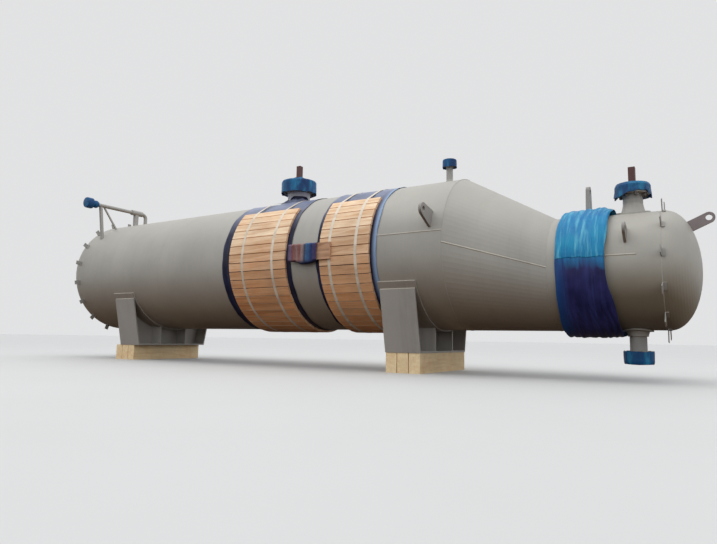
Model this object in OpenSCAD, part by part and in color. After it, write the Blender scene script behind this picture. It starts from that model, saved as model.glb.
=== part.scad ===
// Kettle type shell and tube heat exchanger, dressed for shipping.
// X runs along the vessel towards the channel end, Y runs away from the viewer and Z is up.
// The origin is on the floor under the middle of the fixed saddle. All sizes are in millimetres.

/* [Kettle shell] */
// Outside diameter of the large kettle shell
kettle_od = 1420; // [1100:10:1700]
// Plate thickness of the kettle shell
kettle_wall = 14; // [8:1:30]
// Distance from the sliding saddle to the seam of the rear head
rear_overhang = 877; // [700:1:1400]
// Distance from the fixed saddle to the start of the cone
front_overhang = 454; // [330:1:900]
// Length of the eccentric cone, which keeps a flat bottom
cone_len = 800; // [500:1:1200]
// Step from the rim of the girth rings in to the short cylinder at the small end of the cone
port_step = 43; // [43:0.5:90]
// Plate thickness of that cylinder and of the cone
port_wall = 12; // [8:1:25]
// Length of that cylinder up to the first flange
port_len = 152; // [100:1:300]

/* [Girth flanges] */
// Outside diameter of the three girth rings
girth_od = 1050; // [900:2:1200]
// Thickness of each girth flange
girth_flange_t = 78; // [40:1:110]
// Thickness of the tubesheet between the flanges
tubesheet_t = 76; // [40:1:110]
// Distance from the bolt circle to the rim of the girth rings
girth_edge = 21.5; // [18:0.5:22]
// Number of girth studs
girth_studs_n = 36; // [16:4:48]
// Diameter of a girth stud
girth_stud_d = 20; // [12:1:22]

/* [Channel] */
// Step from the rim of the girth rings in to the channel barrel
channel_step = 52.5; // [43:0.5:100]
// Plate thickness of the channel
channel_wall = 12; // [8:1:25]
// Length of the channel barrel from its flange to the head seam
channel_len = 430; // [400:1:700]
// Straight skirt of both dished heads
head_skirt = 10; // [0:1:50]

/* [Saddles] */
// Distance between the two saddles
saddle_pitch = 3800; // [3200:10:4400]
// Length of a saddle along the vessel
saddle_len = 350; // [250:5:400]
// Height from the saddle base to the bottom of the shell
saddle_clear = 210; // [120:1:400]
// Thickness of the saddle plates
saddle_plate = 16; // [8:1:24]
// Width of the saddle across the vessel at its base
saddle_base_w = 1050; // [900:5:1250]
// Angle of shell that the saddle carries
saddle_angle = 120; // [110:1:140]
// Angle of shell that the wear plate covers
wear_angle = 132; // [120:1:150]
// Thickness of the wear plate
wear_t = 12; // [6:1:20]
// Length of the wear plate along the vessel
wear_len = 380; // [300:5:440]
// Diameter of the anchor bolt holes
anchor_d = 27; // [20:1:36]
// Height of the timber blocks under the saddles
timber_h = 180; // [60:5:240]
// Width of one timber along the vessel, three of which carry a saddle
timber_w = 108; // [80:2:130]
// How far the timbers under the sliding saddle sit back from its middle
timber_shift = 90; // [0:1:120]

/* [Nozzles] */
// Place of the top nozzle from the fixed saddle
top_nozzle_x = -1626; // [-1750:1:-1400]
// Place of the level nozzle from the fixed saddle
level_nozzle_x = 234; // [150:1:380]
// Place of both channel nozzles from the channel flange
channel_nozzle_x = 209; // [175:1:260]
// Height of the top nozzle face over the shell
top_nozzle_rise = 196; // [150:1:300]
// Height of the level nozzle face over the shell
level_nozzle_rise = 205; // [110:1:260]
// Height of the channel top nozzle face over the channel
channel_top_rise = 194; // [140:1:300]
// Drop of the channel bottom nozzle face under the channel
channel_bottom_drop = 212; // [150:1:240]

/* [Lugs] */
// Place of the shell lifting lugs from the fixed saddle
shell_lug_x = 339; // [280:1:400]
// Angle of the shell lifting lugs above level
shell_lug_angle = 19; // [15:1:50]
// Place of the channel lifting lugs from the channel flange
channel_lug_x = 191; // [150:1:260]
// Angle of the channel lifting lugs above level
channel_lug_angle = 30; // [20:1:60]

/* [Vent line] */
// Place of the vent line ahead of the rear head seam
vent_x = 181; // [150:1:500]
// Outside diameter of the vent pipe
vent_pipe_d = 48.3; // [30:0.1:60]
// Reach of the vent flange face from the middle of the vessel
vent_reach = 757; // [650:1:900]
// Height of the level vent run over the top of the shell
vent_rise = 196; // [150:1:260]

/* [Shipping dress] */
// Middle of the rear slat lagging from the fixed saddle
rear_lagging_x = -1578; // [-1650:1:-1500]
// Length of the rear slats
rear_slat_len = 751; // [600:1:800]
// Middle of the front slat lagging from the fixed saddle
front_lagging_x = -513; // [-560:1:-460]
// Length of the front slats
front_slat_len = 544; // [400:1:600]
// Width of a slat
slat_w = 82; // [60:1:110]
// Thickness of a slat
slat_t = 24; // [15:1:40]
// Gap between slats
slat_gap = 5; // [2:1:12]
// Angle over the top, to each side of the crown, that the slats leave open
slat_open = 45; // [20:1:70]
// Blue sheet that shows past the rear end of the rear slats
rear_sheet_back = 121; // [10:1:160]
// Blue sheet that shows past the front end of the rear slats
rear_sheet_fore = 61; // [10:1:120]
// Blue sheet that shows past the rear end of the front slats
front_sheet_back = 22; // [10:1:60]
// Blue sheet that shows past the front end of the front slats
front_sheet_fore = 66; // [10:1:90]
// Thickness of a folded blue sheet
sheet_t = 5; // [2:1:8]
// Length of the girth tarp along the vessel
tarp_len = 367; // [300:1:420]
// Angle round the vessel that the lower girth tarp covers
lower_tarp_angle = 216; // [200:1:230]
// Angle round the vessel that the upper girth tarp covers
upper_tarp_angle = 164; // [152:1:176]

/* [Hidden] */

// Fits
seat = 0.3;
round_fn = 96;
film_t = 6;
dish_steps = 18;

// Stations along the vessel
kettle_r = kettle_od / 2;
port_r = girth_od / 2 - port_step;
channel_r = girth_od / 2 - channel_step;
bolt_circle_r = girth_od / 2 - girth_edge;
rear_seam_x = -saddle_pitch - rear_overhang;
cone_end_x = front_overhang + cone_len;
flange_x = cone_end_x + port_len;
tubesheet_x = flange_x + girth_flange_t;
channel_flange_x = tubesheet_x + tubesheet_t;
channel_x = channel_flange_x + girth_flange_t;
front_seam_x = channel_x + channel_len;
girth_mid_x = tubesheet_x + tubesheet_t / 2;

// Heights over the floor
bottom_z = timber_h + saddle_clear;
kettle_z = bottom_z + kettle_r;
port_z = bottom_z + port_r;

// Colours
grey_paint = "#A9A79F";
blue_film = "#1F5FA8";
navy_film = "#1B2F66";
slat_wood = "#CDA877";
block_wood = "#C9A36C";
red_brown = "#5B2F2E";
strap_pale = "#D8CFC0";
board_wood = "#7A5442";
stud_steel = "dimgray";

// Each nozzle kind is [pipe radius, bore radius, flange diameter, flange thickness,
// bolt circle, number of bolts, bolt hole, stud diameter, hub height, pad radius, pad thickness]
nozzle_8in = [109.55, 101, 381, 41.3, 330.2, 12, 25.4, 22, 55, 180, 14];
nozzle_4in = [76, 51, 254, 31.8, 200.2, 8, 22.4, 19, 0, 130, 12];
nozzle_3in = [63.5, 38, 209.6, 28.6, 168.3, 8, 22.4, 19, 0, 115, 12];
nozzle_1in5 = [32, 20, 127, 17.5, 98.4, 4, 15.9, 12.7, 0, 70, 10];

function pipe_r(n) = n[0];
function bore_r(n) = n[1];
function disc_d(n) = n[2];
function disc_t(n) = n[3];
function bolt_circle(n) = n[4];
function bolt_count(n) = n[5];
function bolt_hole(n) = n[6];
function stud_d(n) = n[7];
function hub_h(n) = n[8];
function pad_r(n) = n[9];
function pad_t(n) = n[10];
function nut_h(n) = stud_d(n) * 0.9;
function stud_reach(n) = disc_t(n) + nut_h(n) + 5;

// Quarter of an ellipse from the rim to the crown of a two to one dished head
function dish(r, depth, skirt) =
    [for (i = [0:dish_steps]) [r * cos(90 * i / dish_steps), skirt + depth * sin(90 * i / dish_steps)]];

module lengthwise(x, z) {
    translate([x, 0, z]) rotate([0, 90, 0]) children();
}

module tube(x, z, len, r, wall) {
    lengthwise(x, z) difference() {
        cylinder(h = len, r = r, $fn = round_fn);
        translate([0, 0, -1]) cylinder(h = len + 2, r = r - wall, $fn = round_fn);
    }
}

// Dished head that opens towards negative local Z
module dished_head(r, wall) {
    rotate_extrude($fn = round_fn) polygon(concat(
        [[r, 0]], dish(r, r / 2, head_skirt),
        [for (i = [dish_steps:-1:0]) dish(r - wall, r / 2 - wall, head_skirt)[i]],
        [[r - wall, 0]]));
}

// Weld neck nozzle along local Z with its face at z = 0 and its root below
module nozzle(n, rise, root) {
    difference() {
        rotate_extrude($fn = round_fn) polygon([
            [bore_r(n), -rise - root], [pipe_r(n), -rise - root],
            [pipe_r(n), -disc_t(n) - hub_h(n)], [pipe_r(n) + hub_h(n) * 0.35, -disc_t(n)],
            [disc_d(n) / 2, -disc_t(n)], [disc_d(n) / 2, 0], [bore_r(n), 0]]);
        bolt_holes(n, -disc_t(n));
    }
}

module bolt_holes(n, z) {
    for (i = [0:bolt_count(n) - 1])
        rotate([0, 0, (i + 0.5) * 360 / bolt_count(n)])
            translate([bolt_circle(n) / 2, 0, z - 1])
                cylinder(h = disc_t(n) + 2, d = bolt_hole(n), $fn = 24);
}

module blind(n) {
    difference() {
        cylinder(h = disc_t(n), d = disc_d(n), $fn = round_fn);
        bolt_holes(n, 0);
    }
}

// Studs with a nut at each end for a flange and its blind
module flange_studs(n) {
    for (i = [0:bolt_count(n) - 1])
        rotate([0, 0, (i + 0.5) * 360 / bolt_count(n)])
            translate([bolt_circle(n) / 2, 0, 0])
                stud(stud_d(n), stud_reach(n), disc_t(n), disc_t(n));
}

// One stud along local Z, centred on z = 0, with its nuts seated at up and down
module stud(d, reach, up, down) {
    translate([0, 0, -reach]) cylinder(h = 2 * reach, d = d, $fn = 24);
    translate([0, 0, up]) cylinder(h = d * 0.9, d = d * 1.8, $fn = 6);
    translate([0, 0, -down - d * 0.9]) cylinder(h = d * 0.9, d = d * 1.8, $fn = 6);
}

// Film tied round a flange pair, open towards the neck
module film_cup(n, lid_hole, film) {
    r = disc_d(n) / 2 + seat;
    top = stud_reach(n) + seat;
    rotate_extrude($fn = round_fn) polygon([
        [r, -top], [r + film, -top], [r + film, top + film],
        [lid_hole, top + film], [lid_hole, top], [r, top]]);
}

module at_top_nozzle() {
    translate([top_nozzle_x, 0, kettle_z + kettle_r + top_nozzle_rise]) children();
}

module at_level_nozzle() {
    translate([level_nozzle_x, 0, kettle_z + kettle_r + level_nozzle_rise]) children();
}

module at_channel_top() {
    translate([channel_x + channel_nozzle_x, 0, port_z + channel_r + channel_top_rise]) children();
}

module at_channel_bottom() {
    translate([channel_x + channel_nozzle_x, 0, port_z - channel_r - channel_bottom_drop])
        rotate([180, 0, 0]) children();
}

// Upright hole through a shell for a nozzle neck
module neck_hole(n) {
    cylinder(h = 3 * kettle_r, r = pipe_r(n) + seat, $fn = round_fn);
}

module kettle_shell() {
    color(grey_paint) difference() {
        tube(rear_seam_x, kettle_z, front_overhang - rear_seam_x, kettle_r, kettle_wall);
        translate([top_nozzle_x, 0, kettle_z]) neck_hole(nozzle_8in);
        translate([level_nozzle_x, 0, kettle_z]) neck_hole(nozzle_1in5);
    }
}

module rear_head() {
    color(grey_paint) lengthwise(rear_seam_x, kettle_z) rotate([180, 0, 0])
        dished_head(kettle_r, kettle_wall);
}

// Flat bottomed cone between two circles that touch the same line below
module cone_form(inset, cut) {
    hull() {
        lengthwise(front_overhang - cut, kettle_z)
            cylinder(h = 0.01, r = kettle_r - inset, $fn = round_fn);
        lengthwise(cone_end_x + cut - 0.01, port_z)
            cylinder(h = 0.01, r = port_r - inset, $fn = round_fn);
    }
}

module eccentric_cone() {
    color(grey_paint) difference() {
        cone_form(0, 0);
        cone_form(port_wall, 0.5);
    }
}

module port_cylinder() {
    color(grey_paint) tube(cone_end_x, port_z, port_len, port_r, port_wall);
}

module girth_ring(x, t, inner_r) {
    lengthwise(x, port_z) difference() {
        cylinder(h = t, d = girth_od, $fn = round_fn);
        translate([0, 0, -1]) cylinder(h = t + 2, r = inner_r, $fn = round_fn);
        girth_holes(t);
    }
}

module girth_holes(t) {
    for (i = [0:girth_studs_n - 1])
        rotate([0, 0, (i + 0.5) * 360 / girth_studs_n])
            translate([bolt_circle_r, 0, -1])
                cylinder(h = t + 2, d = girth_stud_d + 2, $fn = 24);
}

module shell_flange() {
    color(grey_paint) girth_ring(flange_x, girth_flange_t, port_r - port_wall);
}

module tubesheet() {
    color(grey_paint) lengthwise(tubesheet_x, port_z) difference() {
        cylinder(h = tubesheet_t, d = girth_od, $fn = round_fn);
        girth_holes(tubesheet_t);
    }
}

module channel_flange() {
    color(grey_paint) girth_ring(channel_flange_x, girth_flange_t, channel_r - channel_wall);
}

module girth_studs() {
    reach = tubesheet_t / 2 + girth_flange_t;
    color(stud_steel) lengthwise(girth_mid_x, port_z)
        for (i = [0:girth_studs_n - 1])
            rotate([0, 0, (i + 0.5) * 360 / girth_studs_n])
                translate([bolt_circle_r, 0, 0])
                    girth_stud(reach);
}

module girth_stud(reach) {
    nut_t = 18;
    nut_d = 33;
    tail = 6;
    translate([0, 0, -reach - nut_t - tail])
        cylinder(h = 2 * (reach + nut_t + tail), d = girth_stud_d, $fn = 24);
    translate([0, 0, reach]) cylinder(h = nut_t, d = nut_d, $fn = 6);
    translate([0, 0, -reach - nut_t]) cylinder(h = nut_t, d = nut_d, $fn = 6);
}

module channel_barrel() {
    color(grey_paint) difference() {
        tube(channel_x, port_z, channel_len, channel_r, channel_wall);
        translate([channel_x + channel_nozzle_x, 0, port_z]) neck_hole(nozzle_4in);
        translate([channel_x + channel_nozzle_x, 0, port_z]) mirror([0, 0, 1]) neck_hole(nozzle_3in);
    }
}

module channel_head() {
    color(grey_paint) lengthwise(front_seam_x, port_z) dished_head(channel_r, channel_wall);
}

// Part of a ring round the girth flanges, as far to each side of a middle angle
module tarp_sector(inner_r, film, angle, middle) {
    lengthwise(girth_mid_x - tarp_len / 2, port_z)
        rotate([0, 0, middle - angle / 2]) rotate_extrude(angle = angle, $fn = round_fn)
            translate([inner_r, 0]) square([film, tarp_len]);
}

module tarp_lower() {
    color(navy_film) tarp_sector(girth_od / 2 + seat, film_t, lower_tarp_angle, 0);
}

module tarp_upper() {
    color(blue_film) difference() {
        tarp_sector(girth_od / 2 + film_t + 2 * seat, film_t, upper_tarp_angle, 180);
        translate([flange_lug_x - lug_t(flange_lug) / 2 - 1, -lug_w(flange_lug) / 2 - 1, port_z])
            cube([lug_t(flange_lug) + 2, lug_w(flange_lug) + 2, girth_od]);
    }
}

module top_nozzle() {
    color(grey_paint) at_top_nozzle() nozzle(nozzle_8in, top_nozzle_rise, 40);
}

module top_blind() {
    color(grey_paint) at_top_nozzle() blind(nozzle_8in);
}

module top_wrap() {
    color(blue_film) at_top_nozzle() film_cup(nozzle_8in, post_w * 0.75, 3);
}

module level_nozzle() {
    color(grey_paint) at_level_nozzle() nozzle(nozzle_1in5, level_nozzle_rise, 30);
}

module level_blind() {
    color(grey_paint) at_level_nozzle() blind(nozzle_1in5);
}

module level_wrap() {
    color(blue_film) at_level_nozzle() film_cup(nozzle_1in5, 0, 4);
}

module channel_top_nozzle() {
    color(grey_paint) at_channel_top() nozzle(nozzle_4in, channel_top_rise, 35);
}

module channel_top_blind() {
    color(grey_paint) at_channel_top() blind(nozzle_4in);
}

module channel_top_wrap() {
    color(blue_film) at_channel_top() film_cup(nozzle_4in, post_w * 0.75, 5);
}

module channel_bottom_nozzle() {
    color(grey_paint) at_channel_bottom() nozzle(nozzle_3in, channel_bottom_drop, 35);
}

module channel_bottom_blind() {
    color(grey_paint) at_channel_bottom() blind(nozzle_3in);
}

module channel_bottom_wrap() {
    color(blue_film) at_channel_bottom() film_cup(nozzle_3in, 0, 3);
}

module nozzle_studs() {
    color(stud_steel) {
        at_top_nozzle() flange_studs(nozzle_8in);
        at_level_nozzle() flange_studs(nozzle_1in5);
        at_channel_top() flange_studs(nozzle_4in);
        at_channel_bottom() flange_studs(nozzle_3in);
    }
}

// Reinforcing plate that wraps a shell round a nozzle neck
module neck_pad(x, z, shell_r, n) {
    intersection() {
        tube(x - pad_r(n) - 1, z, 2 * pad_r(n) + 2, shell_r + seat + pad_t(n), pad_t(n));
        translate([x, 0, z]) difference() {
            cylinder(h = 2 * shell_r, r = pad_r(n), $fn = round_fn);
            neck_hole(n);
        }
    }
}

module nozzle_pads() {
    color(grey_paint) {
        neck_pad(top_nozzle_x, kettle_z, kettle_r, nozzle_8in);
        neck_pad(level_nozzle_x, kettle_z, kettle_r, nozzle_1in5);
        neck_pad(channel_x + channel_nozzle_x, port_z, channel_r, nozzle_4in);
        mirror([0, 0, 1]) neck_pad(channel_x + channel_nozzle_x, -port_z, channel_r,
            nozzle_3in);
    }
}

// Red brown posts that stand on the two largest blinds
post_w = 52;
top_post_h = 219;
channel_post_h = 170;

module post(n, h) {
    translate([-post_w / 2, -post_w / 2, disc_t(n)]) cube([post_w, post_w, h]);
}

module purge_posts() {
    color(red_brown) {
        at_top_nozzle() post(nozzle_8in, top_post_h);
        at_channel_top() post(nozzle_4in, channel_post_h);
    }
}

// Vent line, which climbs on the far side and then runs level towards the viewer
vent_station = rear_seam_x + vent_x;
vent_r = vent_pipe_d / 2;
vent_wall = 3.7;
vent_bend = 57;
vent_riser_y = 124;
vent_bend_y = vent_riser_y - vent_bend;
vent_axis_z = kettle_z + kettle_r + vent_rise;

// Riser, elbow and level run of radius r
module vent_path(r) {
    translate([vent_station, vent_riser_y, kettle_z])
        cylinder(h = vent_axis_z - vent_bend - kettle_z, r = r, $fn = 48);
    translate([vent_station, vent_bend_y, vent_axis_z - vent_bend]) rotate([90, 0, 90])
        rotate_extrude(angle = 90, $fn = 48) translate([vent_bend, 0]) circle(r = r, $fn = 48);
    translate([vent_station, vent_bend_y, vent_axis_z]) rotate([90, 0, 0])
        cylinder(h = vent_reach + vent_bend_y, r = r, $fn = 48);
}

// Frame on the vent flange face, local Z towards the viewer
module at_vent_face() {
    translate([vent_station, -vent_reach, vent_axis_z]) rotate([90, 0, 0]) children();
}

// Kettle shell with its fit, for cutting pieces that stand on it
module kettle_form(x, len) {
    lengthwise(x - len / 2, kettle_z)
        cylinder(h = len, r = kettle_r + seat, $fn = 4 * round_fn);
}

module vent_pipe() {
    color(grey_paint) difference() {
        union() {
            vent_path(vent_r);
            at_vent_face() translate([0, 0, -disc_t(nozzle_1in5)])
                cylinder(h = disc_t(nozzle_1in5), d = disc_d(nozzle_1in5), $fn = round_fn);
        }
        vent_path(vent_r - vent_wall);
        at_vent_face() bolt_holes(nozzle_1in5, -disc_t(nozzle_1in5));
        kettle_form(vent_station, 4 * vent_r);
    }
}

module vent_blind() {
    color(grey_paint) at_vent_face() blind(nozzle_1in5);
}

module vent_wrap() {
    color(blue_film) at_vent_face() film_cup(nozzle_1in5, 0, 4);
}

// Square bar across the vessel under the vent run, from a point on the run's axis
// at top_y to the shell at foot_y, both measured towards the viewer
module vent_bar(top_y, foot_y, w) {
    foot = [-foot_y, kettle_z + sqrt(pow(kettle_r, 2) - pow(foot_y, 2))];
    d = [-top_y, vent_axis_z] - foot;
    root = w;
    translate([vent_station, foot[0], foot[1]]) rotate([atan2(d[1], d[0]), 0, 0])
        translate([-w / 2, -root, -w / 2]) cube([w, norm(d) + root, w]);
}

sleeve_t = 12;
sleeve_len = 170;
pedestal_w = 50;
pedestal_y = 36;
strut_w = 32;
strut_top_y = vent_reach - 171;
strut_foot_y = kettle_r * 0.752;
brace_w = 18;
brace_top_y = vent_reach - 210;
brace_foot_y = kettle_r * 0.473;

module vent_supports() {
    color(grey_paint) difference() {
        union() {
            translate([vent_station, vent_bend_y - 7, vent_axis_z]) rotate([90, 0, 0])
                cylinder(h = sleeve_len, r = vent_r + sleeve_t, $fn = 48);
            translate([vent_station - pedestal_w / 2, -pedestal_y - pedestal_w / 2, kettle_z])
                cube([pedestal_w, pedestal_w, vent_axis_z - kettle_z]);
            vent_bar(strut_top_y, strut_foot_y, strut_w);
            vent_bar(brace_top_y, brace_foot_y, brace_w);
        }
        vent_path(vent_r + seat);
        kettle_form(vent_station, 2 * pedestal_w);
    }
}

// Ribs stand between the middle of a saddle and its end plates
rib_y = saddle_base_w * 0.19;
rib_h = saddle_clear + 200;
anchor_inset = 60;

// Saddle with a base plate, a web across the vessel, two ribs and two end plates
module saddle(x) {
    translate([x, 0, 0]) difference() {
        union() {
            translate([-saddle_len / 2, -saddle_base_w / 2, timber_h])
                cube([saddle_len, saddle_base_w, saddle_plate]);
            translate([-saddle_plate / 2, 0, 0]) rotate([90, 0, 90])
                linear_extrude(saddle_plate) saddle_outline();
            for (s = [-1, 1]) {
                translate([-saddle_len / 2, s * rib_y - saddle_plate / 2, timber_h])
                    cube([saddle_len, saddle_plate, rib_h]);
                saddle_end(s);
            }
        }
        lengthwise(-saddle_len, kettle_z)
            cylinder(h = 2 * saddle_len, r = kettle_r + wear_t + seat, $fn = round_fn);
        for (sx = [-1, 1], sy = [-1, 1])
            translate([sx * saddle_len * 0.3, sy * (saddle_base_w / 2 - anchor_inset), timber_h - 1])
                cylinder(h = saddle_plate + 2, d = anchor_d, $fn = 32);
    }
}

// Height and half width where the saddle stops against the shell
function horn_half_w(r) = r * sin(saddle_angle / 2);
function horn_z(r) = kettle_z - r * cos(saddle_angle / 2);

module saddle_outline() {
    r = kettle_r + wear_t;
    base = saddle_base_w / 2;
    polygon([[-base, timber_h], [base, timber_h], [horn_half_w(r), horn_z(r)],
        [0, horn_z(r)], [-horn_half_w(r), horn_z(r)]]);
}

module saddle_end(s) {
    r = kettle_r + wear_t;
    base = saddle_base_w / 2;
    top = horn_half_w(r);
    translate([-saddle_len / 2, 0, 0]) rotate([90, 0, 90]) linear_extrude(saddle_len)
        polygon([[s * base, timber_h], [s * (top + saddle_plate), horn_z(r)],
            [s * top, horn_z(r)], [s * (base - saddle_plate), timber_h]]);
}

module fixed_saddle() {
    color(grey_paint) saddle(0);
}

module sliding_saddle() {
    color(grey_paint) saddle(-saddle_pitch);
}

module wear_plate(x) {
    lengthwise(x - wear_len / 2, kettle_z)
        rotate([0, 0, -wear_angle / 2]) rotate_extrude(angle = wear_angle, $fn = round_fn)
            translate([kettle_r, 0]) square([wear_t, wear_len]);
}

module wear_plates() {
    color(grey_paint) {
        wear_plate(0);
        wear_plate(-saddle_pitch);
    }
}

// Three timbers side by side, centred on x
module timber_stack(x) {
    len = saddle_base_w - 10;
    for (i = [-1:1])
        translate([x + i * (timber_w + timber_gap) - timber_w / 2, -len / 2, 0])
            cube([timber_w, len, timber_h]);
}

timber_gap = 8;

module timber_blocks() {
    color(block_wood) {
        timber_stack(0);
        timber_stack(-saddle_pitch - timber_shift);
    }
}

// Each lifting lug is [width at its root, rise over the shell, thickness, eye]
shell_lug = [155, 225, 25, 50];
channel_lug = [135, 130, 20, 45];
flange_lug = [130, 222, 30, 45];
flange_lug_x = tubesheet_x + tubesheet_t * 0.3;

function lug_w(lug) = lug[0];
function lug_rise(lug) = lug[1];
function lug_t(lug) = lug[2];
function lug_eye(lug) = lug[3];

// Lifting plate across the vessel, rooted on a shell of radius r
module lifting_plate(r, lug) {
    w = lug_w(lug);
    end_r = w * 0.36;
    eye_at = r + lug_rise(lug) - end_r;
    shoulder = 20;
    root = 30;
    rotate([90, 0, 90]) translate([0, 0, -lug_t(lug) / 2]) linear_extrude(lug_t(lug)) difference() {
        union() {
            translate([eye_at, 0]) circle(r = end_r, $fn = 64);
            polygon([[r - root, -w / 2], [r + shoulder, -w / 2], [eye_at, -end_r],
                [eye_at, end_r], [r + shoulder, w / 2], [r - root, w / 2]]);
        }
        circle(r = r + seat, $fn = 4 * round_fn);
        translate([eye_at, 0]) circle(d = lug_eye(lug), $fn = 48);
    }
}

module shell_lugs() {
    color(grey_paint)
        for (a = [shell_lug_angle, 180 - shell_lug_angle])
            translate([shell_lug_x, 0, kettle_z]) rotate([a, 0, 0])
                lifting_plate(kettle_r, shell_lug);
}

module channel_lugs() {
    color(grey_paint)
        for (a = [channel_lug_angle, 180 - channel_lug_angle])
            translate([channel_x + channel_lug_x, 0, port_z]) rotate([a, 0, 0])
                lifting_plate(channel_r, channel_lug);
}

module flange_lug() {
    color(grey_paint) translate([flange_lug_x, 0, port_z]) rotate([90, 0, 0])
        lifting_plate(girth_od / 2, flange_lug);
}

pull_w = 85;
pull_t = 20;
pull_reach = 142;
pull_eye = 46;
pull_angle = 25;
pull_root = [channel_r * 0.3725, channel_r * 0.711];

// Pulling plate that stands on the channel head
module pulling_lug() {
    color(grey_paint) difference() {
        translate([front_seam_x + pull_root[0], 0, port_z + pull_root[1]])
            rotate([0, -pull_angle, 0]) rotate([90, 0, 0])
                translate([0, 0, -pull_t / 2]) linear_extrude(pull_t) difference() {
                    union() {
                        translate([pull_reach, 0]) circle(d = pull_w, $fn = 48);
                        translate([-pull_w / 2, -pull_w / 2]) square([pull_reach + pull_w / 2, pull_w]);
                    }
                    translate([pull_reach, 0]) circle(d = pull_eye, $fn = 48);
                }
        lengthwise(front_seam_x, port_z) rotate_extrude($fn = round_fn)
            polygon(concat([[0, 0]], dish(channel_r + seat, channel_r / 2 + seat, head_skirt)));
    }
}

// Small angle clips that stand round a head seam, each w wide with a foot along the shell
module clip_ring(r, n, from, rise, w, foot) {
    t = 6;
    for (i = [0:n - 1])
        rotate([0, 0, from + i * 360 / n]) translate([r + seat, -w / 2, 0]) {
            translate([0, 0, -t / 2]) cube([rise, w, t]);
            cube([t, w, foot]);
        }
}

module rear_clips() {
    color(grey_paint) lengthwise(rear_seam_x, kettle_z)
        clip_ring(kettle_r, 18, 0, 60, 50, 30);
}

module channel_clips() {
    color(grey_paint) lengthwise(front_seam_x, port_z)
        clip_ring(channel_r, 12, 20, 100, 60, 25);
}

// Folded sheet round the shell under a slat lagging
module blue_sheet(mid, len, back, fore) {
    lengthwise(mid - len / 2 - back, kettle_z) difference() {
        cylinder(h = len + back + fore, r = kettle_r + seat + sheet_t, $fn = round_fn);
        translate([0, 0, -1])
            cylinder(h = len + back + fore + 2, r = kettle_r + seat, $fn = round_fn);
    }
}

module rear_sheet() {
    color(navy_film) difference() {
        blue_sheet(rear_lagging_x, rear_slat_len, rear_sheet_back, rear_sheet_fore);
        translate([top_nozzle_x, 0, kettle_z])
            cylinder(h = 2 * kettle_r, r = pad_r(nozzle_8in) + seat, $fn = round_fn);
    }
}

// The front sheet is cut round the wear plate of the fixed saddle
module front_sheet() {
    color(navy_film) difference() {
        blue_sheet(front_lagging_x, front_slat_len, front_sheet_back, front_sheet_fore);
        translate([-wear_len / 2 - seat, -kettle_od, 0])
            cube([wear_len, 2 * kettle_od, kettle_z - kettle_r * cos(wear_angle / 2) + 8]);
    }
}

// Slats round the shell, left open over the top
slat_r = kettle_r + sheet_t + 2 * seat;
slat_step = 2 * atan((slat_w + slat_gap) / 2 / slat_r);
slats_half = floor((180 - slat_open) / slat_step);

module slat_band(mid, len) {
    translate([mid - len / 2, 0, kettle_z])
        for (i = [-slats_half:slats_half])
            rotate([180 + i * slat_step, 0, 0])
                translate([0, -slat_w / 2, slat_r]) cube([len, slat_w, slat_t]);
}

module rear_slats() {
    color(slat_wood) slat_band(rear_lagging_x, rear_slat_len);
}

module front_slats() {
    color(slat_wood) slat_band(front_lagging_x, front_slat_len);
}

strap_r = norm([slat_r + slat_t, slat_w / 2]) + seat;
strap_w = 30;
strap_t = 1.5;

module strap(x) {
    lengthwise(x - strap_w / 2, kettle_z) difference() {
        cylinder(h = strap_w, r = strap_r + strap_t, $fn = round_fn);
        translate([0, 0, -1]) cylinder(h = strap_w + 2, r = strap_r, $fn = round_fn);
    }
}

// Straps at these shares of the slat length from the middle of each lagging
rear_strap_at = [-0.256, 0.277];
front_strap_at = [-0.29, 0.244];

module binding_straps() {
    color(strap_pale) {
        for (a = rear_strap_at) strap(rear_lagging_x + a * rear_slat_len);
        for (a = front_strap_at) strap(front_lagging_x + a * front_slat_len);
    }
}

// Middle of the bare shell between the two laggings, where the plate bracket stands
bracket_mid = (rear_lagging_x + rear_slat_len / 2 + rear_sheet_fore
    + front_lagging_x - front_slat_len / 2 - front_sheet_back) / 2;
bracket_len = 300;
bracket_t = 6;

// Cover board over the bracket, which also lies on the front slats
board_from = bracket_mid - bracket_len / 2 - 12;
board_to = front_lagging_x - front_slat_len / 2 + 139;
board_z = kettle_z - 65;
board_h = 160;
board_t = 20;
board_y = strap_r + strap_t + seat;

module cover_board() {
    color(board_wood) translate([board_from, -board_y - board_t, board_z])
        cube([board_to - board_from, board_t, board_h]);
}

module plate_bracket() {
    plate_h = board_h - 20;
    leg_at = bracket_len * 0.4;
    leg = 80;
    color(grey_paint) difference() {
        translate([bracket_mid, -board_y + seat, board_z + 10]) {
            translate([-bracket_len / 2, 0, 0]) cube([bracket_len, bracket_t, plate_h]);
            for (s = [-1, 1])
                translate([s * leg_at - bracket_t / 2, 0, 0]) cube([bracket_t, leg, plate_h]);
        }
        kettle_form(bracket_mid, 2 * bracket_len);
    }
}

kettle_shell();
rear_head();
eccentric_cone();
port_cylinder();
shell_flange();
tubesheet();
channel_flange();
girth_studs();
channel_barrel();
channel_head();
tarp_lower();
tarp_upper();
top_nozzle();
top_blind();
top_wrap();
level_nozzle();
level_blind();
level_wrap();
channel_top_nozzle();
channel_top_blind();
channel_top_wrap();
channel_bottom_nozzle();
channel_bottom_blind();
channel_bottom_wrap();
nozzle_studs();
nozzle_pads();
purge_posts();
vent_pipe();
vent_blind();
vent_wrap();
vent_supports();
fixed_saddle();
sliding_saddle();
wear_plates();
timber_blocks();
shell_lugs();
channel_lugs();
flange_lug();
pulling_lug();
rear_clips();
channel_clips();
rear_sheet();
front_sheet();
rear_slats();
front_slats();
binding_straps();
cover_board();
plate_bracket();
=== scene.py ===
import bpy
import math
from mathutils import Matrix, Vector, noise


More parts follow.
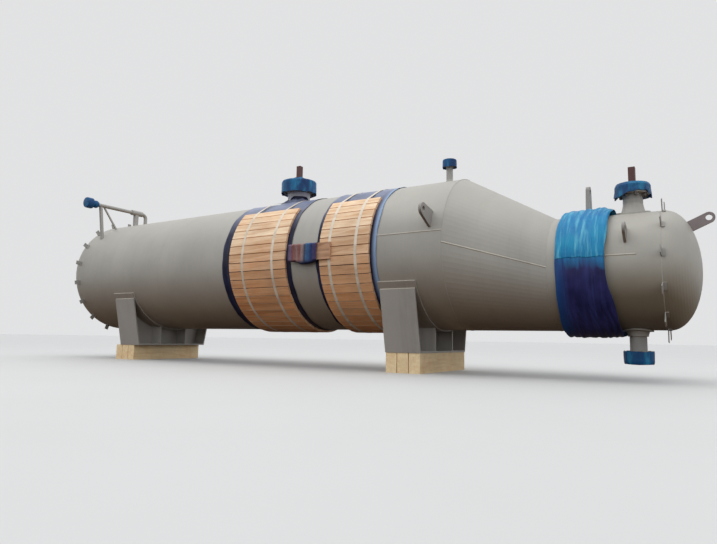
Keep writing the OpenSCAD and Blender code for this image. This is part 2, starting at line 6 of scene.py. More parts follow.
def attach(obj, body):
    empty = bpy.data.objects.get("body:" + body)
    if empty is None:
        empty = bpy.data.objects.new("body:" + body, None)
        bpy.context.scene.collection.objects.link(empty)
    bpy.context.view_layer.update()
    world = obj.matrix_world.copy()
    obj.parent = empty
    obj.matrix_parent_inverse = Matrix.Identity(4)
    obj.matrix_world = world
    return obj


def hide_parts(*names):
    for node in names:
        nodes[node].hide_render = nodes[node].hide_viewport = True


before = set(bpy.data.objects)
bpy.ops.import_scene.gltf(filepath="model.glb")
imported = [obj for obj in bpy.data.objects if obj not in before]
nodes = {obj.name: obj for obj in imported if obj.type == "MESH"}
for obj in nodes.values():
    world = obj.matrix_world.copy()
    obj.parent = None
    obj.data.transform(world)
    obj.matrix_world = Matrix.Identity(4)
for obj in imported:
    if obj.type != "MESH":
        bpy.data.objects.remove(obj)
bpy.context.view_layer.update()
print("frame loaded,", len(nodes), "nodes")

# heights, radii and stations of the vessel, in metres
vessel = {
    "kettleZ": 1.1, "kettleR": 0.71,
    "portZ": 0.872, "portR": 0.482, "channelR": 0.4725,
    "rearSeam": -4.677, "coneStart": 0.454, "coneEnd": 1.254, "frontSeam": 2.068,
    "girthFrom": 1.406, "girthTo": 1.638, "girthR": 0.525,
}


# node helpers
def addNode(tree, kind, **values):
    node = tree.nodes.new(kind)
    for key, value in values.items():
        setattr(node, key, value)
    return node


colorSocket, floatSocket, vectorSocket = "NodeSocketColor", "NodeSocketFloat", "NodeSocketVector"


# a group with the inputs given, and a colour, a roughness and a bump height to put out
def startGroup(name, inputs):
    tree = bpy.data.node_groups.new(name, "ShaderNodeTree")
    for label, kind, value in inputs:
        socket = tree.interface.new_socket(name=label, in_out="INPUT", socket_type=kind)
        socket.default_value = value
    for label, kind in (("Color", colorSocket), ("Roughness", floatSocket), ("Height", floatSocket)):
        tree.interface.new_socket(name=label, in_out="OUTPUT", socket_type=kind)
    return tree, addNode(tree, "NodeGroupInput").outputs


def endGroup(tree, shade, rough, height):
    out = addNode(tree, "NodeGroupOutput")
    for label, value in (("Color", shade), ("Roughness", rough), ("Height", height)):
        tree.links.new(value, out.inputs[label])
    return tree


# grain is scale, detail and roughness of the noise
def noiseAt(tree, vector, grain):
    tex = addNode(tree, "ShaderNodeTexNoise")
    for key, value in zip(("Scale", "Detail", "Roughness"), grain):
        tex.inputs[key].default_value = value
    tree.links.new(vector, tex.inputs["Vector"])
    return tex.outputs["Fac"]


def stretched(tree, vector, scale):
    mapping = addNode(tree, "ShaderNodeMapping")
    mapping.inputs["Scale"].default_value = scale
    tree.links.new(vector, mapping.inputs["Vector"])
    return mapping.outputs["Vector"]


def ranged(tree, value, span, result=(0.0, 1.0)):
    node = addNode(tree, "ShaderNodeMapRange")
    for key, number in zip(("From Min", "From Max", "To Min", "To Max"), span + result):
        node.inputs[key].default_value = number
    tree.links.new(value, node.inputs["Value"])
    return node.outputs["Result"]


# like ranged, with the two ends taken from sockets
def spanned(tree, value, low, high):
    node = addNode(tree, "ShaderNodeMapRange")
    for key, source in (("Value", value), ("From Min", low), ("From Max", high)):
        tree.links.new(source, node.inputs[key])
    return node.outputs["Result"]


def feed(tree, socket, value):
    if isinstance(value, (int, float, tuple)):
        socket.default_value = value
    else:
        tree.links.new(value, socket)


def calc(tree, kind, a, b):
    node = addNode(tree, "ShaderNodeMath", operation=kind)
    feed(tree, node.inputs[0], a)
    feed(tree, node.inputs[1], b)
    return node.outputs[0]


def times(tree, a, b):
    return calc(tree, "MULTIPLY", a, b)


def blended(tree, fac, a, b, mode="MIX"):
    node = addNode(tree, "ShaderNodeMix", data_type="RGBA", blend_type=mode)
    feed(tree, node.inputs["Factor"], fac)
    feed(tree, node.inputs[6], a)   # the two colour inputs
    feed(tree, node.inputs[7], b)
    return node.outputs[2]


def axes(tree, vector):
    split = addNode(tree, "ShaderNodeSeparateXYZ")
    tree.links.new(vector, split.inputs[0])
    return split.outputs


def objectPlace(tree):
    return addNode(tree, "ShaderNodeTexCoord").outputs["Object"]


def tint(r, g, b):
    return (r, g, b, 1.0)


# shop paint: soft mottling, rain streaks down the sides, dust on top, painted shade below (brownish), small rust spots
# spans are read off a noise or off the upward share of the normal
paintWear = {
    "mottle": (1.7, 4.0, 0.6), "mottleSpan": (0.35, 0.7), "mottleTint": tint(0.86, 0.86, 0.87),
    "streak": (1.0, 5.0, 0.62), "streakStretch": (11.0, 1.1, 0.8), "streakSpan": (0.52, 0.72),
    "streakTint": tint(0.6, 0.58, 0.54),
    "speckle": (46.0, 2.0, 0.5), "speckleHeight": 0.35, "spots": (21.0, 6.0, 0.75), "spotSpan": (0.69, 0.76),
    "topSpan": (0.35, 0.95), "topDust": (0.0, 0.55), "dustSpan": (0.3, 0.75), "dustRough": 0.3,
    "roughSpan": (0.3, 0.7), "rough": (0.4, 0.52),
}


def makePaintGroup():
    p = paintWear
    tree, given = startGroup("shopPaintWear", [
        ("Paint", colorSocket, tint(0.4, 0.39, 0.36)),
        ("Dust", colorSocket, tint(0.5, 0.48, 0.44)),
        ("Rust", colorSocket, tint(0.16, 0.075, 0.035)),
        ("Streaks", floatSocket, 0.35),
        ("Rust Amount", floatSocket, 0.2),
        ("Painted Shade Below", colorSocket, tint(0.78, 0.64, 0.52)),
        ("Under From", floatSocket, -0.12),
        ("Under To", floatSocket, -0.75),
    ])
    coord = objectPlace(tree)
    upward = axes(tree, addNode(tree, "ShaderNodeNewGeometry").outputs["Normal"])["Z"]
    mottle = noiseAt(tree, coord, p["mottle"])
    streak = noiseAt(tree, stretched(tree, coord, p["streakStretch"]), p["streak"])
    speckle = noiseAt(tree, coord, p["speckle"])
    spots = noiseAt(tree, coord, p["spots"])
    mottled = ranged(tree, mottle, p["mottleSpan"])
    shade = blended(tree, mottled, given["Paint"], p["mottleTint"], "MULTIPLY")
    dark = times(tree, ranged(tree, streak, p["streakSpan"]), given["Streaks"])
    shade = blended(tree, dark, shade, p["streakTint"], "MULTIPLY")
    top = ranged(tree, upward, p["topSpan"], p["topDust"])
    dusty = times(tree, top, ranged(tree, mottle, p["dustSpan"]))
    shade = blended(tree, dusty, shade, given["Dust"])
    # painted shade: faces turned down are darkened and browned
    under = spanned(tree, upward, given["Under From"], given["Under To"])
    shade = blended(tree, under, shade, given["Painted Shade Below"], "MULTIPLY")
    rusty = times(tree, ranged(tree, spots, p["spotSpan"]), given["Rust Amount"])
    shade = blended(tree, rusty, shade, given["Rust"])
    rough = calc(tree, "ADD", ranged(tree, mottle, p["roughSpan"], p["rough"]), times(tree, dusty, p["dustRough"]))
    height = calc(tree, "ADD", times(tree, speckle, p["speckleHeight"]), mottle)
    return endGroup(tree, shade, rough, height)


# sawn wood: grain along X or Y, one tone for each board, reddish and weathered patches, painted shade below (warmer and
# darker)
woodGrain = {
    "grain": (1.0, 6.0, 0.65), "fine": (4.2, 3.0, 0.6), "grainShare": 0.7, "fineShare": 0.3, "ringSpan": (0.4, 0.62),
    "boardShift": (37.0, 48.0, 59.0), "boardSpan": (0.2, 1.0), "boardShare": (0.0, 0.75),
    "flush": (1.7, 4.0, 0.65), "flushStretch": (2.0, 5.0, 5.0), "flushSpan": (0.48, 0.72), "flushShare": (0.0, 0.55),
    "flushTint": tint(0.9, 0.68, 0.52), "underSpan": (0.35, -0.6),
    "broad": (3.1, 2.0, 0.5), "wearAndPaintedLightSpan": (0.45, 0.72), "wornTint": tint(0.2, 0.17, 0.15),
    "roughSpan": (0.3, 0.7), "rough": (0.62, 0.86),
}


def makeWoodGroup():
    g = woodGrain
    tree, given = startGroup("sawnWoodGrain", [
        ("Light", colorSocket, tint(0.5, 0.33, 0.19)),
        ("Dark", colorSocket, tint(0.3, 0.17, 0.09)),
        ("Along", vectorSocket, (1.6, 30.0, 30.0)),
        ("Weathering", floatSocket, 0.2),
        ("Painted Shade Below", colorSocket, tint(1.0, 0.78, 0.62)),
        ("Darker Board", colorSocket, tint(0.76, 0.67, 0.58)),
    ])
    coord = objectPlace(tree)
    surface = addNode(tree, "ShaderNodeNewGeometry")
    island = surface.outputs["Random Per Island"]
    offset = addNode(tree, "ShaderNodeCombineXYZ")
    for axis, shift in enumerate(g["boardShift"]):
        tree.links.new(times(tree, island, shift), offset.inputs[axis])
    shifted = addNode(tree, "ShaderNodeVectorMath", operation="MULTIPLY_ADD")
    for socket, source in zip(shifted.inputs, (coord, given["Along"], offset.outputs[0])):
        tree.links.new(source, socket)
    grain = noiseAt(tree, shifted.outputs[0], g["grain"])
    fine = noiseAt(tree, shifted.outputs[0], g["fine"])
    rings = calc(tree, "ADD", times(tree, grain, g["grainShare"]), times(tree, fine, g["fineShare"]))
    shade = blended(tree, ranged(tree, rings, g["ringSpan"]), given["Light"], given["Dark"])
    board = ranged(tree, island, g["boardSpan"], g["boardShare"])
    shade = blended(tree, board, shade, given["Darker Board"], "MULTIPLY")
    flush = noiseAt(tree, stretched(tree, coord, g["flushStretch"]), g["flush"])
    flushed = ranged(tree, flush, g["flushSpan"], g["flushShare"])
    shade = blended(tree, flushed, shade, g["flushTint"], "MULTIPLY")
    # painted shade: faces turned down are warmer and darker
    below = ranged(tree, axes(tree, surface.outputs["Normal"])["Z"], g["underSpan"])
    shade = blended(tree, below, shade, given["Painted Shade Below"], "MULTIPLY")
    broad = noiseAt(tree, coord, g["broad"])
    wearAndPaintedLight = times(tree, ranged(tree, broad, g["wearAndPaintedLightSpan"]), given["Weathering"])
    shade = blended(tree, wearAndPaintedLight, shade, g["wornTint"])
    rough = ranged(tree, rings, g["roughSpan"], g["rough"])
    return endGroup(tree, shade, rough, rings)


# woven plastic sheet: fine weave, faded creases, painted light in one colour on what faces up, and one colour along a
# hem
sheetWeave = {
    "folds": (1.0, 5.0, 0.6), "wide": (5.0, 3.0, 0.6), "threads": 260.0, "threadHeight": 0.06,
    "deepSpan": (0.35, 0.7), "fadeSpan": (0.5, 0.75), "wearAndPaintedLightSpan": (0.25, 0.6), "wearAndPaintedLightShare": (0.55, 1.0),
    "roughSpan": (0.3, 0.8), "rough": (0.32, 0.55),
}


def makeSheetGroup():
    w = sheetWeave
    tree, given = startGroup("wovenSheet", [
        ("Tone", colorSocket, tint(0.03, 0.2, 0.5)),
        ("Faded", colorSocket, tint(0.2, 0.45, 0.65)),
        ("Deep", colorSocket, tint(0.01, 0.05, 0.18)),
        ("Stretch", vectorSocket, (9.0, 1.5, 1.5)),
        ("Fading", floatSocket, 0.6),
        ("Top", colorSocket, tint(0.29, 0.33, 0.47)),
        ("Top From", floatSocket, 0.5),
        ("Top To", floatSocket, 0.95),
        ("Top Amount", floatSocket, 0.0),
        ("Hem", colorSocket, tint(0.25, 0.36, 0.56)),
        ("Hem From", floatSocket, 90.0),   # far off the part: no hem unless a material sets it
        ("Hem To", floatSocket, 91.0),
    ])
    coord = objectPlace(tree)
    scaled = addNode(tree, "ShaderNodeVectorMath", operation="MULTIPLY")
    tree.links.new(coord, scaled.inputs[0])
    tree.links.new(given["Stretch"], scaled.inputs[1])
    folds = noiseAt(tree, scaled.outputs[0], w["folds"])
    wide = noiseAt(tree, coord, w["wide"])
    thread = addNode(tree, "ShaderNodeTexVoronoi", feature="F1")
    thread.inputs["Scale"].default_value = w["threads"]
    tree.links.new(coord, thread.inputs["Vector"])
    shade = blended(tree, ranged(tree, wide, w["deepSpan"]), given["Tone"], given["Deep"])
    faded = times(tree, ranged(tree, folds, w["fadeSpan"]), given["Fading"])
    shade = blended(tree, faded, shade, given["Faded"])
    normal = axes(tree, addNode(tree, "ShaderNodeNewGeometry").outputs["Normal"])
    # painted light: what faces up is blended towards the Top colour, in patches
    upward = spanned(tree, normal["Z"], given["Top From"], given["Top To"])
    wearAndPaintedLight = times(tree, times(tree, upward, given["Top Amount"]), ranged(tree, wide, w["wearAndPaintedLightSpan"], w["wearAndPaintedLightShare"]))
    shade = blended(tree, wearAndPaintedLight, shade, given["Top"])
    hem = spanned(tree, axes(tree, coord)["X"], given["Hem From"], given["Hem To"])
    shade = blended(tree, hem, shade, given["Hem"])
    rough = ranged(tree, folds, w["roughSpan"], w["rough"])
    weave = times(tree, thread.outputs["Distance"], w["threadHeight"])
    height = calc(tree, "ADD", folds, weave)
    return endGroup(tree, shade, rough, height)


paintGroup = makePaintGroup()
woodGroup = makeWoodGroup()
sheetGroup = makeSheetGroup()


def newMaterial(name):
    material = bpy.data.materials.new(name)
    material.use_nodes = True
    return material, material.node_tree, material.node_tree.nodes["Principled BSDF"]


def coat(tree, principled, shade, rough):
    tree.links.new(shade, principled.inputs["Base Color"])
    tree.links.new(rough, principled.inputs["Roughness"])


def addRelief(tree, principled, height, strength, reach):
    relief = addNode(tree, "ShaderNodeBump")
    relief.inputs["Strength"].default_value = strength
    relief.inputs["Distance"].default_value = reach
    tree.links.new(height, relief.inputs["Height"])
    tree.links.new(relief.outputs["Normal"], principled.inputs["Normal"])


# a material with one of the shared groups on its colour, roughness and bump
def groupMaterial(name, group, values, bump=0.3, reach=0.002, shine=None):
    material, tree, principled = newMaterial(name)
    effect = addNode(tree, "ShaderNodeGroup", node_tree=group)
    for key, value in values.items():
        effect.inputs[key].default_value = value
    coat(tree, principled, effect.outputs["Color"], effect.outputs["Roughness"])
    addRelief(tree, principled, effect.outputs["Height"], bump, reach)
    if shine is not None:
        principled.inputs["Specular IOR Level"].default_value = shine
    return material


# name, paint, dust, streaks, rust amount and bump of each painted finish, and what else it changes
shopGrey, shellDust, plainDust = tint(0.43, 0.415, 0.375), tint(0.52, 0.5, 0.46), tint(0.5, 0.48, 0.44)
paints = {
    "shellPaint": ("greyShellPaint", shopGrey, shellDust, 0.12, 0.05, 0.3, {}),
    # the channel's painted shade below is browner and reaches higher up the sides
    "channelPaint": ("greyChannelPaint", tint(0.425, 0.41, 0.365), shellDust, 0.12, 0.05, 0.3,
        {"Painted Shade Below": tint(0.55, 0.46, 0.36), "Under From": 0.1, "Under To": -0.5}),
    "headPaint": ("greyHeadPaint", tint(0.42, 0.405, 0.365), plainDust, 0.16, 0.08, 0.3, {}),
    "platePaint": ("greyPlatePaint", tint(0.42, 0.4, 0.37), tint(0.48, 0.46, 0.42), 0.3, 0.3, 0.35, {}),
    "lugPaint": ("greyLugPaint", tint(0.33, 0.315, 0.295), tint(0.4, 0.38, 0.36), 0.4, 0.5, 0.35, {}),
    "pullPaint": ("mauvePlatePaint", tint(0.27, 0.225, 0.225), tint(0.36, 0.32, 0.31), 0.4, 0.7, 0.35, {}),
    "fittingPaint": ("greyFittingPaint", tint(0.38, 0.37, 0.345), plainDust, 0.5, 0.4, 0.3, {}),
    "weldPaint": ("paintedWeld", shopGrey, shellDust, 0.3, 0.15, 0.4, {}),
    # pale paint of the straight beads: a painted highlight along them, with rust and streaks
    "paintedSeamHighlight": ("paleSeamPaint", tint(0.55, 0.52, 0.45), tint(0.55, 0.53, 0.48), 0.6, 0.9, 0.4, {}),
    "primer": ("redBrownPrimer", tint(0.12, 0.045, 0.042), tint(0.2, 0.11, 0.1), 0.5, 0.6, 0.4,
        {"Rust": tint(0.2, 0.06, 0.03)}),
}
alongX, alongY = (1.6, 30.0, 30.0), (26.0, 1.3, 26.0)   # stretch of the grain in slats and in blocks
# the Top colour here is painted light on the crown of the band sheets
bandBlue = {"Tone": tint(0.016, 0.018, 0.056), "Faded": tint(0.05, 0.08, 0.19), "Deep": tint(0.008, 0.008, 0.026),
    "Stretch": (20.0, 3.0, 3.0), "Top From": 0.4, "Top Amount": 0.9}

finishes = {
    # the colour below for each wood is its painted shade on faces turned down
    "slatWood": groupMaterial("sawnSlat", woodGroup, {
        "Light": tint(0.97, 0.77, 0.55), "Dark": tint(0.77, 0.52, 0.32), "Painted Shade Below": tint(0.98, 0.64, 0.42),
        "Along": alongX, "Weathering": 0.2}, 0.6, 0.003),
    "blockWood": groupMaterial("sawnBlock", woodGroup, {
        "Light": tint(0.99, 0.82, 0.53), "Dark": tint(0.85, 0.64, 0.38), "Painted Shade Below": tint(1.0, 0.96, 0.88),
        "Darker Board": tint(0.94, 0.89, 0.82), "Along": alongY, "Weathering": 0.15}, 0.7, 0.004),
    "boardWood": groupMaterial("weatheredBoard", woodGroup, {
        "Light": tint(0.76, 0.51, 0.34), "Dark": tint(0.46, 0.27, 0.17),
        "Along": alongX, "Weathering": 0.4}, 0.6, 0.003),
    "brightTarp": groupMaterial("brightBlueSheet", sheetGroup, {
        "Tone": tint(0.008, 0.26, 0.48), "Faded": tint(0.19, 0.6, 0.74), "Deep": tint(0.006, 0.17, 0.42),
        "Stretch": (30.0, 3.2, 3.2), "Fading": 0.85}, 0.5, 0.006, 0.25),
    # navy sheet: its Top colour is painted light, blue on what faces up and navy lower down
    "navyTarp": groupMaterial("navySheet", sheetGroup, {
        "Tone": tint(0.035, 0.036, 0.16), "Faded": tint(0.05, 0.07, 0.27), "Deep": tint(0.012, 0.013, 0.07),
        "Stretch": (38.0, 0.9, 0.9),
        "Top": tint(0.01, 0.18, 0.42), "Top From": -0.03, "Top To": 0.13, "Top Amount": 1.0,
        "Hem": tint(0.015, 0.075, 0.26), "Hem From": 1.43, "Hem To": 1.33}, 0.5, 0.006, 0.25),
    "bandSheet": groupMaterial("bandBlueSheet", sheetGroup, bandBlue, 0.5, 0.005, 0.3),
    "hemSheet": groupMaterial("hemBlueSheet", sheetGroup, {
        **bandBlue, "Hem From": -0.225, "Hem To": -0.19}, 0.5, 0.005, 0.3),
    "capSheet": groupMaterial("capBlueSheet", sheetGroup, {
        "Tone": tint(0.008, 0.1, 0.26), "Faded": tint(0.03, 0.31, 0.53), "Deep": tint(0.008, 0.025, 0.1),
        "Stretch": (14.0, 14.0, 4.0), "Fading": 0.8}, 0.5, 0.005, 0.25),
    "paleFilm": groupMaterial("paleFilm", sheetGroup, {
        "Tone": tint(0.42, 0.42, 0.47), "Faded": tint(0.6, 0.61, 0.66), "Deep": tint(0.22, 0.22, 0.3),
        "Stretch": (12.0, 12.0, 4.0)}, 0.4, 0.004),
}
for finish, (name, paint, dust, streaks, rust, bump, more) in paints.items():
    values = {"Paint": paint, "Dust": dust, "Streaks": streaks, "Rust Amount": rust, **more}
    finishes[finish] = groupMaterial(name, paintGroup, values, bump)
print("finishes made")

# steel of the studs and nuts, plain with a brownish film
studSteel = {"film": (70.0, 4.0, 0.6), "filmSpan": (0.45, 0.65), "clean": tint(0.3, 0.29, 0.28),
    "brown": tint(0.12, 0.08, 0.055), "roughSpan": (0.3, 0.7), "rough": (0.3, 0.65), "metallic": 0.85}


def makeStudSteel():
    s = studSteel
    material, tree, principled = newMaterial("studSteel")
    film = noiseAt(tree, objectPlace(tree), s["film"])
    shade = blended(tree, ranged(tree, film, s["filmSpan"]), s["clean"], s["brown"])
    coat(tree, principled, shade, ranged(tree, film, s["roughSpan"], s["rough"]))
    principled.inputs["Metallic"].default_value = s["metallic"]
    return material


# pale strap: glossy plastic band with fine ribs along it
strapPlastic = {"ribs": 90.0, "ribBump": 0.3, "ribReach": 0.0006, "soil": (9.0, 4.0, 0.6), "soilSpan": (0.45, 0.75),
    "clean": tint(0.78, 0.69, 0.57), "soiled": tint(0.55, 0.45, 0.35), "roughSpan": (0.3, 0.7), "rough": (0.3, 0.5)}


def makeStrapPlastic():
    s = strapPlastic
    material, tree, principled = newMaterial("paleStrap")
    coord = objectPlace(tree)
    ribs = addNode(tree, "ShaderNodeTexWave", wave_type="BANDS", bands_direction="X")
    ribs.inputs["Scale"].default_value = s["ribs"]
    tree.links.new(coord, ribs.inputs["Vector"])
    soil = noiseAt(tree, coord, s["soil"])
    shade = blended(tree, ranged(tree, soil, s["soilSpan"]), s["clean"], s["soiled"])
    coat(tree, principled, shade, ranged(tree, soil, s["roughSpan"], s["rough"]))
    addRelief(tree, principled, ribs.outputs["Fac"], s["ribBump"], s["ribReach"])
    return material


finishes["studSteel"] = makeStudSteel()
finishes["strap"] = makeStrapPlastic()

# which finish each solid of the frame takes
nodeFinish = {
    "shellPaint": ["kettle_shell", "eccentric_cone", "port_cylinder", "nozzle_pads"],
    "channelPaint": ["channel_barrel", "channel_head"],
    "headPaint": ["rear_head", "shell_flange", "tubesheet", "channel_flange"],
    "platePaint": ["fixed_saddle", "sliding_saddle", "wear_plates", "plate_bracket"],
    "lugPaint": ["shell_lugs", "channel_lugs", "flange_lug"],
    "pullPaint": ["pulling_lug"],
    "fittingPaint": ["top_nozzle", "top_blind", "level_nozzle", "level_blind", "channel_top_nozzle",
        "channel_top_blind", "channel_bottom_nozzle", "channel_bottom_blind", "vent_pipe", "vent_blind",
        "vent_supports", "rear_clips", "channel_clips"],
    "studSteel": ["girth_studs", "nozzle_studs"],
    "primer": ["purge_posts"],
    "slatWood": ["rear_slats", "front_slats"],
    "blockWood": ["timber_blocks"],
    "boardWood": ["cover_board"],
}
for finish, names in nodeFinish.items():
    for name in names:
        for slot in nodes[name].material_slots:
            slot.material = finishes[finish]

# worn arrises, so that edges catch the light
arris = {"width": {"rear_slats": 0.002, "front_slats": 0.002, "timber_blocks": 0.004, "cover_board": 0.002,
    "fixed_saddle": 0.0015, "sliding_saddle": 0.0015}, "segments": 2, "sharperThan": math.radians(50)}
for name, width in arris["width"].items():
    bevel = nodes[name].modifiers.new("arris", "BEVEL")
    bevel.width = width
    bevel.segments = arris["segments"]
    bevel.limit_method = "ANGLE"
    bevel.angle_limit = arris["sharperThan"]


# mesh helpers
def addObject(name, data):
    thing = bpy.data.objects.new(name, data)
    bpy.context.scene.collection.objects.link(thing)
    return thing


def addMesh(name, verts, faces, material):
    mesh = bpy.data.meshes.new(name)
    mesh.from_pydata([tuple(v) for v in verts], [], faces)
    mesh.materials.append(material)
    return addObject(name, mesh)


def showMesh(name, verts, faces, finish, smooth=True):
    piece = addMesh(name, verts, faces, finishes[finish])
    for face in piece.data.polygons:
        face.use_smooth = smooth
    piece.data.update()
    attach(piece, "root")
    return piece


# a grid of points from place(u, v), u round and v along, closed round if asked
def gridMesh(cols, rows, place, closed=True):
    width = cols if closed else cols + 1
    verts = [place(i / cols, j / (rows - 1)) for j in range(rows) for i in range(width)]
    faces = []
    for j in range(rows - 1):
        for i in range(cols):
            k = (i + 1) % width
            faces.append((j * width + i, j * width + k, (j + 1) * width + k, (j + 1) * width + i))
    return verts, faces


def thicken(piece, thickness, offset=0.0):
    solid = piece.modifiers.new("sheetThickness", "SOLIDIFY")
    solid.thickness = thickness
    solid.offset = offset


# a thin piece from place(u, v), as fine and as thick as its settings say
def sheetPiece(name, place, settings, finish, closed=True, offset=0.0):
    verts, faces = gridMesh(settings["cols"], settings["rows"], place, closed)
    piece = showMesh(name, verts, faces, finish)
    thicken(piece, settings["sheet"], offset)
    return piece


def roundRing(u):
    angle = u * 2 * math.pi
    return math.cos(angle), math.sin(angle)


seedStep = 17.3   # distance between two seeds in the noise field


# noise at a place, each of its three numbers taken times the scale beside it
def ripple(place, scale=(1, 1, 1), seed=0):
    x, y, z = (part * by for part, by in zip(place, scale))
    return noise.noise(Vector((x, y, z + seed * seedStep)))


# point of the vessel's round section: angle 0 is up, positive towards the viewer
def ringPoint(x, angle, r, z):
    return Vector((x, -r * math.sin(angle), z + r * math.cos(angle)))


# girth tarps: two sheets laid round the bolted rings, the upper one over the lower
girthTarp = {
    "from": 1.327, "to": 1.7055, "sheet": 0.0012, "off": 0.004, "cols": 220, "rows": 96, "seed": 3,
    "upperHalf": math.radians(82.5), "lowerHalf": math.radians(107.0), "upperLift": 0.005,
    "lip": 0.068, "sag": 0.03, "sagPower": 1.6, "sagMost": 0.036, "sway": (0.75, 0.5), "swayScale": (2, 3, 0),
    "underSlack": (0.75, 0.7),
    "fold": 0.0085, "ridges": (26.0, 0.8), "ridgeHeight": 2.2, "bend": (1.4, 1.5),
    "creases": (60.0, 5.0), "creaseHeight": 0.25,
    # reach of the hem, each with its degrees from the crown, its spread and its size
    "hem": [(0, 40, 0.004), (84, 24, -0.018), (122, 16, 0.022), (165, 34, 0.052)],
    "hemWave": 0.01, "hemScale": (2.6, 0.3, 0), "skew": 0.03, "skewScale": (5, 0, 0), "edgeRise": (0.35, 0.12),
}


def tarpRadius(x, angle, lift):
    t, seed = girthTarp, girthTarp["seed"]
    past = max(vessel["girthFrom"] - x, x - vessel["girthTo"], 0.0) / t["lip"]
    sway = t["sway"][0] + t["sway"][1] * ripple((x, angle, 0), t["swayScale"], seed)
    slack, power = t["underSlack"]
    hang = 1.0 - slack * max(0.0, -math.cos(angle)) ** power   # the underside hangs loose
    drop = min(t["sag"] * past ** t["sagPower"] * sway * hang, t["sagMost"])
    bend = t["bend"][0] * ripple((0, angle * t["bend"][1], 0), seed=seed + 2)
    across, along = t["ridges"]
    ridge = abs(ripple((x * across + bend, angle * along, 0), seed=seed)) * t["fold"] * t["ridgeHeight"]
    across, along = t["creases"]
    crease = ripple((x * across, angle * along, 0), seed=seed + 5) * t["fold"] * t["creaseHeight"]
    return vessel["girthR"] + lift + t["off"] + ridge + crease - drop


# middle is the angle of the sheet's own middle, lift its height over the other sheet
def girthSheet(name, half, middle, lift, finish):
    t = girthTarp

    def place(u, v):
        away = u * 2 - 1
        angle = away * half + middle
        hem = t["hemWave"] * ripple((angle, v, 0), t["hemScale"], t["seed"] + 9)
        angle += away * t["skew"] * ripple((v, 0, 0), t["skewScale"], t["seed"] + 20)
        turn = abs(math.atan2(math.sin(angle), math.cos(angle)))
        flare = sum(reach * math.exp(-((turn - math.radians(at)) / math.radians(wide)) ** 2)
            for at, wide, reach in t["hem"])
        x = t["from"] + (t["to"] + flare - t["from"]) * v + hem * (2 * v - 1)
        low, span = t["edgeRise"]
        rise = lift * min(1.0, low + (half - abs(away * half)) / span)
        return ringPoint(x, angle, tarpRadius(x, angle, rise), vessel["portZ"])

    return sheetPiece(name, place, t, finish, closed=False)


lowerTarp = girthSheet("lowerTarp", girthTarp["lowerHalf"], math.pi, 0.0, "navyTarp")
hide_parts("tarp_lower")
upperTarp = girthSheet("upperTarp", girthTarp["upperHalf"], 0.0, girthTarp["upperLift"], "brightTarp")
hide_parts("tarp_upper")
print("girth tarps laid")

# sheets under the slats, loose at the edges and over the crown, raised over the pad of the top nozzle
bandSheets = {
    "rear": {"from": -2.0745, "to": -1.1415, "node": "rear_sheet", "seed": 4, "finish": "bandSheet"},
    "front": {"from": -0.838, "to": -0.175, "node": "front_sheet", "seed": 8, "finish": "hemSheet"},
    "sheet": 0.002, "off": 0.0025, "cols": 320, "rows": 90, "wave": 0.012, "waveScale": (4, 4, 5),
    "looseWidth": 0.05, "looseLift": 0.0035, "flapScale": (9, 9, 12),
    "crownFrom": 0.72, "crownSpan": 0.28, "crownLift": 0.006, "crownScale": (14, 5, 0),
    "neckX": -1.626, "neckR": 0.1125, "padR": 0.184, "padT": 0.0145, "padSlope": 0.03,
}


def bandSheet(name, settings):
    b, seed = bandSheets, settings["seed"]
    padReach = b["padR"] + b["padSlope"]

    def place(u, v):
        angle = u * 2 * math.pi
        ring = Vector((math.cos(angle), math.sin(angle), 0))
        edge = b["wave"] * ripple((ring.x, ring.y, v), b["waveScale"], seed)
        x = settings["from"] + (settings["to"] - settings["from"]) * v + edge * (2 * v - 1)
        end = min(x - settings["from"], settings["to"] - x)
        loose = max(0.0, 1.0 - end / b["looseWidth"])
        bare = max(0.0, math.cos(angle) - b["crownFrom"]) / b["crownSpan"]   # no slat holds the crown down
        flap = 1 + ripple((ring.x, ring.y, x), b["flapScale"], seed + 1)
        r = vessel["kettleR"] + b["off"] + b["looseLift"] * loose * flap
        r += bare * b["crownLift"] * abs(ripple((x, ring.y, 0), b["crownScale"], seed + 3))
        away = math.hypot(x - b["neckX"], vessel["kettleR"] * math.sin(angle))
        if math.cos(angle) > 0 and away < padReach:
            r += b["padT"] * min(1.0, (padReach - away) / b["padSlope"])
        return ringPoint(x, angle, r, vessel["kettleZ"])

    def inNeck(p):
        return p.z > vessel["kettleZ"] and math.hypot(p.x - b["neckX"], p.y) < b["neckR"]

    verts, faces = gridMesh(b["cols"], b["rows"], place)
    cutOut = {i for i, p in enumerate(verts) if inNeck(p)}
    faces = [f for f in faces if cutOut.isdisjoint(f)]
    piece = showMesh(name, verts, faces, settings["finish"])
    thicken(piece, b["sheet"])
    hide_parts(settings["node"])
    return piece


rearBand = bandSheet("rearBandSheet", bandSheets["rear"])
frontBand = bandSheet("frontBandSheet", bandSheets["front"])
print("band sheets laid")

# straps over the slats: station and radius over the crown for each, open is the half angle without slats
strapping = {
    "at": [(-1.77026, 0.7275), (-1.36997, 0.7185), (-0.67076, 0.7185), (-0.38026, 0.7185)],
    "width": 0.03, "under": 0.0003, "over": 0.0015, "crownSteps": 180,
    "slatR": 0.7156, "slatT": 0.024, "slatW": 0.082, "slatGap": 0.005, "open": math.radians(45),
}


# hull of the section, so the strap runs straight from one corner to the next
def outerPath(points):
    points = sorted(points)

    def turnsIn(a, b, p):
        return (b[0] - a[0]) * (p[1] - a[1]) <= (b[1] - a[1]) * (p[0] - a[0])

    def half(seq):
        chain = []
        for p in seq:
            while len(chain) > 1 and turnsIn(chain[-2], chain[-1], p):
                chain.pop()
            chain.append(p)
        return chain[:-1]

    return half(points) + half(points[::-1])


